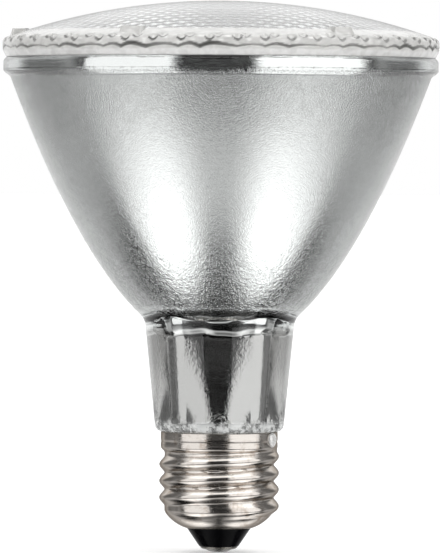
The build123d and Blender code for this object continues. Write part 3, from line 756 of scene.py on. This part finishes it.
def build_reflector():
    """The reflector as one closed mesh, with its silvered faces in their own material."""
    angles, nearness, bevels = flat_angles()
    bowl_radii = np.linspace(THROAT_RADIUS + THROAT_EASING, BOWL_END_RADIUS, BOWL_STEPS)
    bowl = [(*wall_point(radius), 0) for radius in bowl_radii]
    outline = eased(
        [
            (SPIGOT_BORE_RADIUS, SPIGOT_FOOT_Z, 0.3),
            (SPIGOT_RADIUS, SPIGOT_FOOT_Z, 0.3),
            (SPIGOT_RADIUS, NECK_FOOT_Z, 0),
            (NECK_FOOT_RADIUS, NECK_FOOT_Z, 1.5),
            (*wall_point(THROAT_RADIUS), THROAT_EASING),
            *bowl,
            (REFLECTOR_RIM_RADIUS, RIM_FOOT_Z, 0.35),
            (REFLECTOR_RIM_RADIUS, SEAM_Z - 0.7, 0.3),
            (REFLECTOR_SEAM_RADIUS, SEAM_Z - SEAM_GAP, 0.15),
            (MOUTH_RADIUS, SEAM_Z - SEAM_GAP, 0),
        ]
    )
    rows = [ring_points(radius, level, angles) for radius, level in spaced(outline, WALL_SPACING)]
    glass_rows = len(rows) - 2
    for level in np.linspace(SEAM_Z, MIRROR_EDGE_Z, LAND_STEPS)[1:]:
        radius = MOUTH_RADIUS
        for middle, depth in LAND_GROOVES:
            radius -= depth * (1 - soft_step(abs(level - middle), 0, LAND_GROOVE_HALF_HEIGHT))
        rows.append(ring_points(radius, level, angles))
    wave = WAVE_RISE * np.cos(WAVE_COUNT * (angles + pi / 2 - WAVE_TURN))
    wave = wave + RIPPLE_RISE * np.cos(RIPPLE_COUNT * angles)
    # The mirror and the neck meet where both have the same radius, found by repeated tries
    junction = np.full(angles.shape, FLAT_TOP_REACH)
    for _ in range(JUNCTION_TRIES):
        junction = neck_radius(mirror_height(junction), nearness, bevels, wave)
    bowl_end = junction + THROAT_ROUND + wave
    neck_top = mirror_height(junction) - THROAT_ROUND + wave
    for share in np.linspace(0, 1, MIRROR_STEPS):
        radius = MIRROR_EDGE_RADIUS + (bowl_end - MIRROR_EDGE_RADIUS) * share
        rows.append(ring_points(radius, mirror_height(radius), angles))
    for share in np.linspace(0, 1, LIP_STEPS)[1:-1]:
        weights = ((1 - share) ** 2, 2 * share * (1 - share), share**2)
        radii = (bowl_end, junction, neck_radius(neck_top, nearness, bevels, wave))
        levels = (mirror_height(bowl_end), mirror_height(junction), neck_top)
        radius = sum(weight * value for weight, value in zip(weights, radii))
        level = sum(weight * value for weight, value in zip(weights, levels))
        rows.append(ring_points(radius, level, angles))
    for share in np.linspace(0, 1, NECK_STEPS) ** 2:
        level = neck_top + (CAVITY_FLOOR_Z - neck_top) * share
        rows.append(ring_points(neck_radius(level, nearness, bevels, wave), level, angles))
    silver_rows = len(rows) - glass_rows + 1
    for level in np.linspace(CAVITY_FLOOR_Z, SPIGOT_FOOT_Z + 0.3, BORE_STEPS):
        rows.append(ring_points(SPIGOT_BORE_RADIUS, level, angles))
    bands = np.zeros(len(rows), int)
    bands[glass_rows : glass_rows + silver_rows] = 1
    points, faces, bands = np.concatenate(rows), loop_faces(rows), np.repeat(bands, len(angles))
    glass = [stippled_glass(), mirror_silver()]
    add_piece("reflector_bowl", points, faces, glass, "reflector", bands, crease=18)


# Screw base: rolled shell, solder beads, contact and black glass

THREAD_PITCH = 3.629
THREAD_START_Z = 10.05
THREAD_TURNS = 3.04
THREAD_RUNOUT = 0.4
THREAD_DEPTH = 1.15
THREAD_FULLNESS = 0.68
SHELL_SHEET = 0.4
SHELL_FOOT = (7.2, 5.2)
SHELL_SHOULDER = (11.6, 8.3)
SHELL_SHOULDER_ROUND = 9.0
SHELL_WALL_RADIUS = 11.95
SHELL_BORE_RADIUS = 11.55
SHELL_RIM_Z = 26.3
SHELL_SPACING = 0.22
SKIRT_RADIUS = 12.8
CONTACT_Z = 0.55
INSULATOR_Z = 1.15
INSULATOR_GAP = 0.05
CONTACT_GAP = 0.02
TIP_TOP_Z = CONTACT_Z - 0.01
SHELL_COLUMNS = 200


def thread_lift(angles, level):
    """How far the rolled thread stands out of the shell's wall, at a height."""
    turn = np.mod(angles, tau) / tau
    climb = (level - THREAD_START_Z) / THREAD_PITCH - turn
    ridge = np.round(climb)
    along = ridge + turn
    grown = soft_step(along, -THREAD_RUNOUT, 0.0)
    grown = grown * (1 - soft_step(along, THREAD_TURNS, THREAD_TURNS + THREAD_RUNOUT))
    swell = 0.5 + 0.5 * np.cos(tau * (climb - ridge))
    return THREAD_DEPTH * grown * swell**THREAD_FULLNESS


def build_shell():
    """Screw shell of rolled sheet, with the thread on both of its faces."""
    angles = around(SHELL_COLUMNS)
    shoulder, centre = arc_between(SHELL_FOOT, SHELL_SHOULDER, SHELL_SHOULDER_ROUND)
    lining = centre + (shoulder - centre) * (1 - SHELL_SHEET / SHELL_SHOULDER_ROUND)
    outline = spaced(
        eased(
            [
                (*shoulder[0], 0.12),
                *[(*point, 0) for point in shoulder[1:]],
                (SHELL_WALL_RADIUS, 9.0, 0.3),
                (SHELL_WALL_RADIUS, 21.9, 0.35),
                (SKIRT_RADIUS, 22.7, 0.45),
                (SKIRT_RADIUS, 23.75, 0.2),
                (SKIRT_RADIUS - 0.12, 24.15, 0.2),
                (SKIRT_RADIUS, 24.55, 0.2),
                (SKIRT_RADIUS, SHELL_RIM_Z, 0.18),
                (SKIRT_RADIUS - SHELL_SHEET, SHELL_RIM_Z, 0.12),
                (SKIRT_RADIUS - SHELL_SHEET, 23.1, 0.3),
                (SHELL_BORE_RADIUS, 22.2, 0.3),
                (SHELL_BORE_RADIUS, 9.1, 0.2),
                *[(*point, 0) for point in lining[:0:-1]],
                (*lining[0], 0.12),
            ]
        ),
        SHELL_SPACING,
    )
    rows = []
    for radius, level in outline:
        rows.append(ring_points(radius + thread_lift(angles, level), level, angles))
    points, faces = np.concatenate(rows), loop_faces(rows)
    add_piece("shell", points, faces, [nickel_plate()], "screw_shell", crease=50)


def build_side_solder():
    """Bead of solder on the skirt, narrower below."""
    middle_z, half_width, half_height, thickness = 24.7, 1.55, 1.6, 0.7
    seat = SKIRT_RADIUS + 0.02
    spokes = 48
    turn = around(spokes)
    rows = []
    for share in np.linspace(1, 0.04, 16):
        rise = thickness * sqrt(max(0.0, 1 - share**2.4))
        aside = half_width * share * np.cos(turn) * (1 + 0.18 * np.sin(turn))
        level = middle_z + half_height * share * np.sin(turn)
        lump = 1 + 0.06 * np.sin(3 * turn + 1.0) * share
        radius = seat + rise * lump
        spin = SIDE_CONTACT_ANGLE + aside / SKIRT_RADIUS
        rows.append(np.stack([radius * np.cos(spin), radius * np.sin(spin), level], axis=-1))
    index = np.arange(len(rows) * spokes).reshape(len(rows), spokes)
    points = np.concatenate(rows).tolist()
    for radius in (seat + thickness, SKIRT_RADIUS - 0.1):
        points.append((radius * cos(SIDE_CONTACT_ANGLE), radius * sin(SIDE_CONTACT_ANGLE), middle_z))
    front = np.full(spokes, len(points) - 2)
    back = np.full(spokes, len(points) - 1)
    faces = band_faces(np.concatenate([[back], index, [front]]))
    tin = solder("side_tin", (0.97, 0.965, 0.95), 0.4)
    add_piece("solder_bead", points, faces, [tin], "side_solder", crease=60)


def build_base():
    """Contact disc, its solder and the black glass cone."""
    shoulder, centre = arc_between(SHELL_FOOT, SHELL_SHOULDER, SHELL_SHOULDER_ROUND)
    seat = centre + (shoulder - centre) * (1 - (SHELL_SHEET + INSULATOR_GAP) / SHELL_SHOULDER_ROUND)
    glass_outline = eased(
        [
            (1.55, INSULATOR_Z, 0),
            (4.25, INSULATOR_Z, 0.3),
            (7.02, SHELL_FOOT[1], 0.2),
            *[(*point, 0) for point in seat],
            (11.5, 8.9, 0),
            (11.5, 9.8, 0.3),
            (1.55, 9.8, 0.2),
        ]
    )
    points, faces = turned(spaced(glass_outline, 0.5), 144)
    add_piece("insulator_cone", points, faces, [black_glass()], "glass_insulator")
    disc_outline = eased(
        [
            (0.45, CONTACT_Z, 0),
            (3.5, CONTACT_Z, 0.4),
            (4.1, INSULATOR_Z - 0.2, 0.25),
            (4.1, INSULATOR_Z - CONTACT_GAP, 0.05),
            (1.5, INSULATOR_Z - CONTACT_GAP, 0),
            (1.5, 6.65, 0.1),
            (0.45, 6.65, 0),
        ]
    )
    points, faces = turned(disc_outline, 120)
    brass = drawn_metal("contact_plate", (0.26, 0.245, 0.225), (0.16, 0.15, 0.13), 0.28)
    add_piece("contact_disc", points, faces, [brass], "centre_contact")
    bead_outline = eased([(0, 0, 0), (1.9, 0, 0.6), (2.9, TIP_TOP_Z, 0.3), (0, TIP_TOP_Z, 0)])
    points, faces = turned(spaced(bead_outline, 0.2), 72, loop=False)
    tin = solder("tip_tin", (0.28, 0.275, 0.265), 1.0)
    add_piece("solder_tip", points, faces, [tin], "centre_solder")


# Burner: quartz bulb and ceramic arc tube

CAPSULE_RADIUS = 6.8
CAPSULE_BORE_RADIUS = 5.8
PINCH_HALF_WIDTH = 6.2
PINCH_HALF_THICKNESS = 1.6
PINCH_FOOT_Z = 29.75
PINCH_TOP_Z = 38.7
TUBE_FOOT_Z = 41.3
TUBE_TOP_Z = 69.35
CAPSULE_COLUMNS = 144


def pinch_radius(angles):
    """Radius of the pinch's rounded oblong, turned to the leads."""
    aside = angles - SIDE_CONTACT_ANGLE
    power = 10.0
    wide = abs(np.cos(aside) / PINCH_HALF_WIDTH) ** power
    thick = abs(np.sin(aside) / PINCH_HALF_THICKNESS) ** power
    return (wide + thick) ** (-1 / power)


def build_capsule():
    """Quartz bulb: a tube with a domed top and a drawn-off tip, its foot pinched flat."""
    angles = around(CAPSULE_COLUMNS)
    pinch = pinch_radius(angles)
    points = [(0.0, 0.0, PINCH_FOOT_Z)]
    index = [np.zeros(CAPSULE_COLUMNS, int)]

    def add_ring(radius, level):
        index.append(np.arange(len(points), len(points) + CAPSULE_COLUMNS))
        points.extend(ring_points(radius, level, angles).tolist())

    for level in np.linspace(PINCH_FOOT_Z, PINCH_TOP_Z, 10):
        add_ring(pinch, level)
    for share in np.linspace(0, 1, 13)[1:]:
        full = soft_step(share, 0, 1)
        level = PINCH_TOP_Z + (TUBE_FOOT_Z - PINCH_TOP_Z) * share
        add_ring(pinch * (1 - full) + CAPSULE_RADIUS * full, level)
    for level in np.linspace(TUBE_FOOT_Z, TUBE_TOP_Z, 12)[1:]:
        add_ring(CAPSULE_RADIUS, level)
    crown = TUBE_TOP_Z + CAPSULE_RADIUS
    dome_turns = np.linspace(0, radians(76), 14)[1:]
    tip = [(CAPSULE_RADIUS * cos(turn), TUBE_TOP_Z + CAPSULE_RADIUS * sin(turn), 0) for turn in dome_turns]
    tip += [(1.15, crown + 0.1, 0.25), (0.75, crown + 1.5, 0.2), (0, crown + 1.6, 0)]
    for radius, level in eased(tip)[:-1]:
        add_ring(radius, level)
    index.append(np.full(CAPSULE_COLUMNS, len(points)))
    points.append((0.0, 0.0, crown + 1.6))
    outer_faces = band_faces(np.array(index))
    bore = eased(
        [
            (0, TUBE_TOP_Z + CAPSULE_BORE_RADIUS, 0),
            (CAPSULE_BORE_RADIUS, TUBE_TOP_Z + CAPSULE_BORE_RADIUS, 4.5),
            (CAPSULE_BORE_RADIUS, TUBE_FOOT_Z, 1.5),
            (0, TUBE_FOOT_Z - 0.2, 0),
        ],
        steps=10,
    )
    bore_points, bore_faces = turned(bore, CAPSULE_COLUMNS, loop=False)
    first = len(points)
    faces = outer_faces + [tuple(first + corner for corner in face) for face in bore_faces]
    add_piece("quartz_bulb", points + bore_points, faces, [quartz()], "quartz_capsule")


def build_arc_tube():
    """Sintered arc tube with rounded shoulders and a capillary at each end."""
    upper = [
        (2.6, 3.2, 0.5), (0.45, 3.2, 0), (0.45, 10.5, 0.1),
        (1.3, 10.5, 0.2), (1.3, 4.0, 0.35), (3.4, 4.0, 1.3),
    ]
    lower = [(radius, -level, easing) for radius, level, easing in reversed(upper)]
    outline = eased([(radius, FOCUS_Z + level, easing) for radius, level, easing in lower + upper])
    points, faces = turned(outline[::-1], 96)
    alumina = mineral("arc_alumina", (0.90, 0.89, 0.86), (0.82, 0.80, 0.76), 0.5, 0.01, glow=0.6)
    add_piece("arc_body", points, faces, [alumina], "arc_tube")


def dress_nodes():
    """Materials of the CAD nodes that show as they are."""
    burner_metal = drawn_metal("burner_metal", (0.50, 0.50, 0.51), (0.30, 0.29, 0.29), 0.34)
    lead_wire = drawn_metal("lead_nickel", (0.64, 0.62, 0.58), (0.42, 0.39, 0.35), 0.3)
    cement = mineral("lamp_cement", (0.84, 0.81, 0.74), (0.66, 0.62, 0.54), 0.5, 0.12)
    holder = mineral("holder_ceramic", (0.90, 0.89, 0.85), (0.80, 0.78, 0.73), 0.9, 0.04, glow=0.15)
    finishes = {
        burner_metal: (
            "upper_electrode", "lower_electrode", "return_wire", "lower_lead", "seal_foil_return",
            "seal_foil_centre", "pin_return", "pin_centre", "getter",
        ),
        lead_wire: ("centre_lead", "side_lead"),
        cement: ("base_cement", "capsule_cement"),
        holder: ("capsule_holder",),
        braided_sleeve(): ("lead_sleeve",),
    }
    for material, names in finishes.items():
        for name in names:
            nodes[name].data.materials.clear()
            nodes[name].data.materials.append(material)


# Studio: pale floor, two softboxes at the front, soft sectors all round, and the photo's camera

FRAME_HEIGHT_PX = 553
PIXELS_PER_MM = 4.575
CAMERA_DISTANCE = 1.4
CAMERA_HEIGHT = 0.087
AIM_HEIGHT = 0.0602
CAMERA_ROLL = radians(0.27)
SENSOR_WIDTH = 36.0
FLOOR_HALF_WIDTH = 12.0
FLOOR_DROP = 0.0001
FLOOR_COLOUR = (0.82, 0.82, 0.82, 1.0)
FLOOR_NEAR = 0.08
FLOOR_FAR = 0.6
FLOOR_NEAR_GLOW = 0.36
FLOOR_FAR_GLOW = 0.52
SOFTBOX_DISTANCE = 1.2
SOFTBOX_FOOT_Z = -0.4
SOFTBOX_TOP_Z = 2.0
LEFT_RADIANCE = 1.08
RIGHT_RADIANCE = 1.22
LEFT_EDGE = radians(-25.5)
RIGHT_EDGE = radians(19.5)
LEFT_OUTER_EDGE = radians(-79.0)
RIGHT_OUTER_EDGE = radians(85.0)
TABLE_INNER_EDGE = radians(32.0)
TABLE_INNER_SOFTNESS = radians(22.0)
TABLE_OUTER_EDGE = radians(98.5)
TABLE_OUTER_SOFTNESS = radians(5.0)
TABLE_SHIFT = radians(3.0)
BEHIND_EDGES = (radians(130), radians(147))
FAR_BEHIND_EDGES = (radians(162), radians(173))
GAP_RISE = (-0.4, -0.3)
GAP_LEVEL = 0.3

# Light levels by the height of a direction, from -1 straight down to 1 straight up
FRONT_LEVELS = (
    (-1.0, 0.03), (-0.97, 0.04), (-0.93, 0.1), (-0.89, 0.28), (-0.84, 0.5), (-0.78, 0.66), (-0.71, 0.62),
    (-0.63, 0.38), (-0.55, 0.005), (-0.08, 0.005), (-0.02, 0.09), (0.0, 0.13), (0.035, 0.13), (0.06, 0.025),
    (0.6, 0.025), (0.85, 1.4), (1.0, 1.6),
)
TABLE_LEVELS = (
    (-1.0, 0.03), (-0.97, 0.05), (-0.934, 0.95), (-0.89, 1.6), (-0.84, 1.8), (-0.78, 1.75), (-0.71, 1.35),
    (-0.63, 1.05), (-0.545, 0.75), (-0.454, 0.48), (-0.36, 0.02), (0.6, 0.02), (0.85, 1.4), (1.0, 1.6),
)
SIDE_LEVELS = (
    (-1.0, 0.03), (-0.97, 0.2), (-0.93, 0.25), (-0.89, 0.0), (-0.7, 0.0), (-0.63, 0.06), (-0.545, 0.3),
    (-0.45, 0.5), (-0.3, 0.48), (-0.15, 0.42), (-0.04, 0.16), (0.7, 0.14), (0.85, 1.4), (1.0, 1.6),
)
BACK_LEVELS = (
    (-1.0, 0.05), (-0.95, 0.4), (-0.9, 1.7), (-0.72, 1.5), (-0.6, 0.8), (-0.36, 0.75), (-0.12, 0.95),
    (0.0, 0.8), (0.25, 1.3), (0.5, 1.4), (1.0, 1.6),
)
REAR_LEVELS = (
    (-1.0, 0.03), (-0.65, 0.05), (-0.4, 0.8), (-0.1, 1.2), (0.0, 0.6), (0.1, 0.6), (0.3, 1.3), (1.0, 1.6),
)


def build_floor():
    """Wide pale floor that keeps the bulb's shadow, clear from below and hidden from reflections."""
    half = FLOOR_HALF_WIDTH
    corners = [(-half, -half, 0), (half, -half, 0), (half, half, 0), (-half, half, 0)]
    mesh = bpy.data.meshes.new("floor")
    mesh.from_pydata(corners, [], [(0, 1, 2, 3)])
    floor = bpy.data.objects.new("floor", mesh)
    floor.location.z = -FLOOR_DROP
    bpy.context.scene.collection.objects.link(floor)
    material = bpy.data.materials.new("floor_white")
    material.use_nodes = True
    tree = material.node_tree
    tree.nodes.clear()
    camera = add_node(tree, "LightPath").outputs["Is Camera Ray"]
    underside = add_node(tree, "NewGeometry").outputs["Backfacing"]
    lit = add_node(tree, "BsdfDiffuse", {"Color": FLOOR_COLOUR})
    glow = remap(tree, reach(tree), FLOOR_NEAR, FLOOR_FAR, FLOOR_NEAR_GLOW, FLOOR_FAR_GLOW)
    glow = add_node(tree, "Emission", {"Strength": times(tree, camera, glow)})
    both = add_node(tree, "AddShader", {0: lit.outputs[0], 1: glow.outputs[0]})
    clear = add_node(tree, "BsdfTransparent")
    chosen = add_node(tree, "MixShader", {0: underside, 1: both.outputs[0], 2: clear.outputs[0]})
    add_node(tree, "OutputMaterial", {"Surface": chosen.outputs[0]})
    mesh.materials.append(material)
    floor.visible_glossy = False
    floor.visible_transmission = False
    floor.visible_shadow = False


def by_height(tree, rise, stops):
    """Light level by the height of a direction."""
    share = times(tree, calc(tree, "ADD", rise, 1.0), 0.5)
    ramp = add_node(tree, "ValToRGB", {"Fac": share})
    elements = ramp.color_ramp.elements
    while len(elements) < len(stops):
        elements.new(1.0)
    for element, (stop, level) in zip(elements, stops):
        element.position = (stop + 1) / 2
        element.color = (level, level, level, 1.0)
    return ramp.outputs["Color"]


def within(tree, turn, edge, softness):
    """1 within an angle, 0 outside it, eased over a softness to each side."""
    return remap(tree, turn, edge - softness, edge + softness, 1.0, 0.0)


def build_world():
    """Soft studio: dark in front and beside, a pale table below, pale behind, white to the camera."""
    world = bpy.data.worlds.new("studio")
    bpy.context.scene.world = world
    world.use_nodes = True
    tree = world.node_tree
    direction = add_node(tree, "TexCoord").outputs["Generated"]
    parts = add_node(tree, "SeparateXYZ", {"Vector": direction}).outputs
    rise = parts["Z"]
    swing = calc(tree, "ARCTAN2", parts["X"], times(tree, parts["Y"], -1.0))
    turn = calc(tree, "ABSOLUTE", swing)
    beside = calc(tree, "ABSOLUTE", calc(tree, "SUBTRACT", swing, TABLE_SHIFT))
    front, table, side, back, rear = (
        by_height(tree, rise, stops)
        for stops in (FRONT_LEVELS, TABLE_LEVELS, SIDE_LEVELS, BACK_LEVELS, REAR_LEVELS)
    )
    past_boxes = remap(tree, beside, RIGHT_OUTER_EDGE - TABLE_SHIFT, TABLE_OUTER_EDGE)
    gap = times(tree, past_boxes, remap(tree, rise, *GAP_RISE, 0.0, GAP_LEVEL))
    table = calc(tree, "ADD", table, gap)
    level = blended(tree, remap(tree, turn, *FAR_BEHIND_EDGES), back, rear)
    level = blended(tree, remap(tree, turn, *BEHIND_EDGES), side, level)
    level = blended(tree, within(tree, beside, TABLE_OUTER_EDGE, TABLE_OUTER_SOFTNESS), level, table)
    level = blended(tree, within(tree, turn, TABLE_INNER_EDGE, TABLE_INNER_SOFTNESS), level, front)
    # White for camera rays alone, because the mirror's rays leave its glass as transmission rays
    camera = add_node(tree, "LightPath").outputs["Is Camera Ray"]
    background = tree.nodes["Background"]
    tree.links.new(blended(tree, camera, level, (1.0, 1.0, 1.0)), background.inputs["Color"])


def add_softbox(name, inner, outer, radiance):
    """Upright softbox beside the camera, between two angles round from the front."""
    middle, half = (inner + outer) / 2, abs(outer - inner) / 2
    light = bpy.data.lights.new(name, "AREA")
    light.shape = "RECTANGLE"
    light.size = 2 * SOFTBOX_DISTANCE * tan(half)
    light.size_y = SOFTBOX_TOP_Z - SOFTBOX_FOOT_Z
    light.energy = radiance * pi * light.size * light.size_y
    lamp = bpy.data.objects.new(name, light)
    facing = Vector((sin(middle), -cos(middle), 0.0))
    middle_z = (SOFTBOX_TOP_Z + SOFTBOX_FOOT_Z) / 2
    lamp.location = facing * SOFTBOX_DISTANCE + Vector((0.0, 0.0, middle_z))
    lamp.rotation_euler = facing.to_track_quat("Z", "Y").to_euler()
    lamp.visible_camera = False
    bpy.context.scene.collection.objects.link(lamp)


def build_camera():
    """Long-lens camera a little above the bulb's middle, framed as the photo."""
    data = bpy.data.cameras.new("camera")
    camera = bpy.data.objects.new("camera", data)
    bpy.context.scene.collection.objects.link(camera)
    place_at = Vector((0.0, -CAMERA_DISTANCE, CAMERA_HEIGHT))
    aim = Vector((0.0, 0.0, AIM_HEIGHT))
    frame_height = FRAME_HEIGHT_PX / PIXELS_PER_MM * MM
    data.sensor_width = SENSOR_WIDTH
    data.lens = data.sensor_width * (aim - place_at).length / frame_height
    data.clip_start = 0.05
    roll = Matrix.Rotation(CAMERA_ROLL, 4, "Z")
    turn = (aim - place_at).to_track_quat("-Z", "Y").to_matrix().to_4x4()
    camera.matrix_world = Matrix.Translation(place_at) @ turn @ roll
    bpy.context.scene.camera = camera


build_lens()
build_reflector()
build_shell()
build_side_solder()
build_base()
build_capsule()
build_arc_tube()
dress_nodes()
build_floor()
build_world()
add_softbox("softbox_left", LEFT_EDGE, LEFT_OUTER_EDGE, LEFT_RADIANCE)
add_softbox("softbox_right", RIGHT_EDGE, RIGHT_OUTER_EDGE, RIGHT_RADIANCE)
build_camera()
bpy.context.scene.view_settings.view_transform = "Standard"
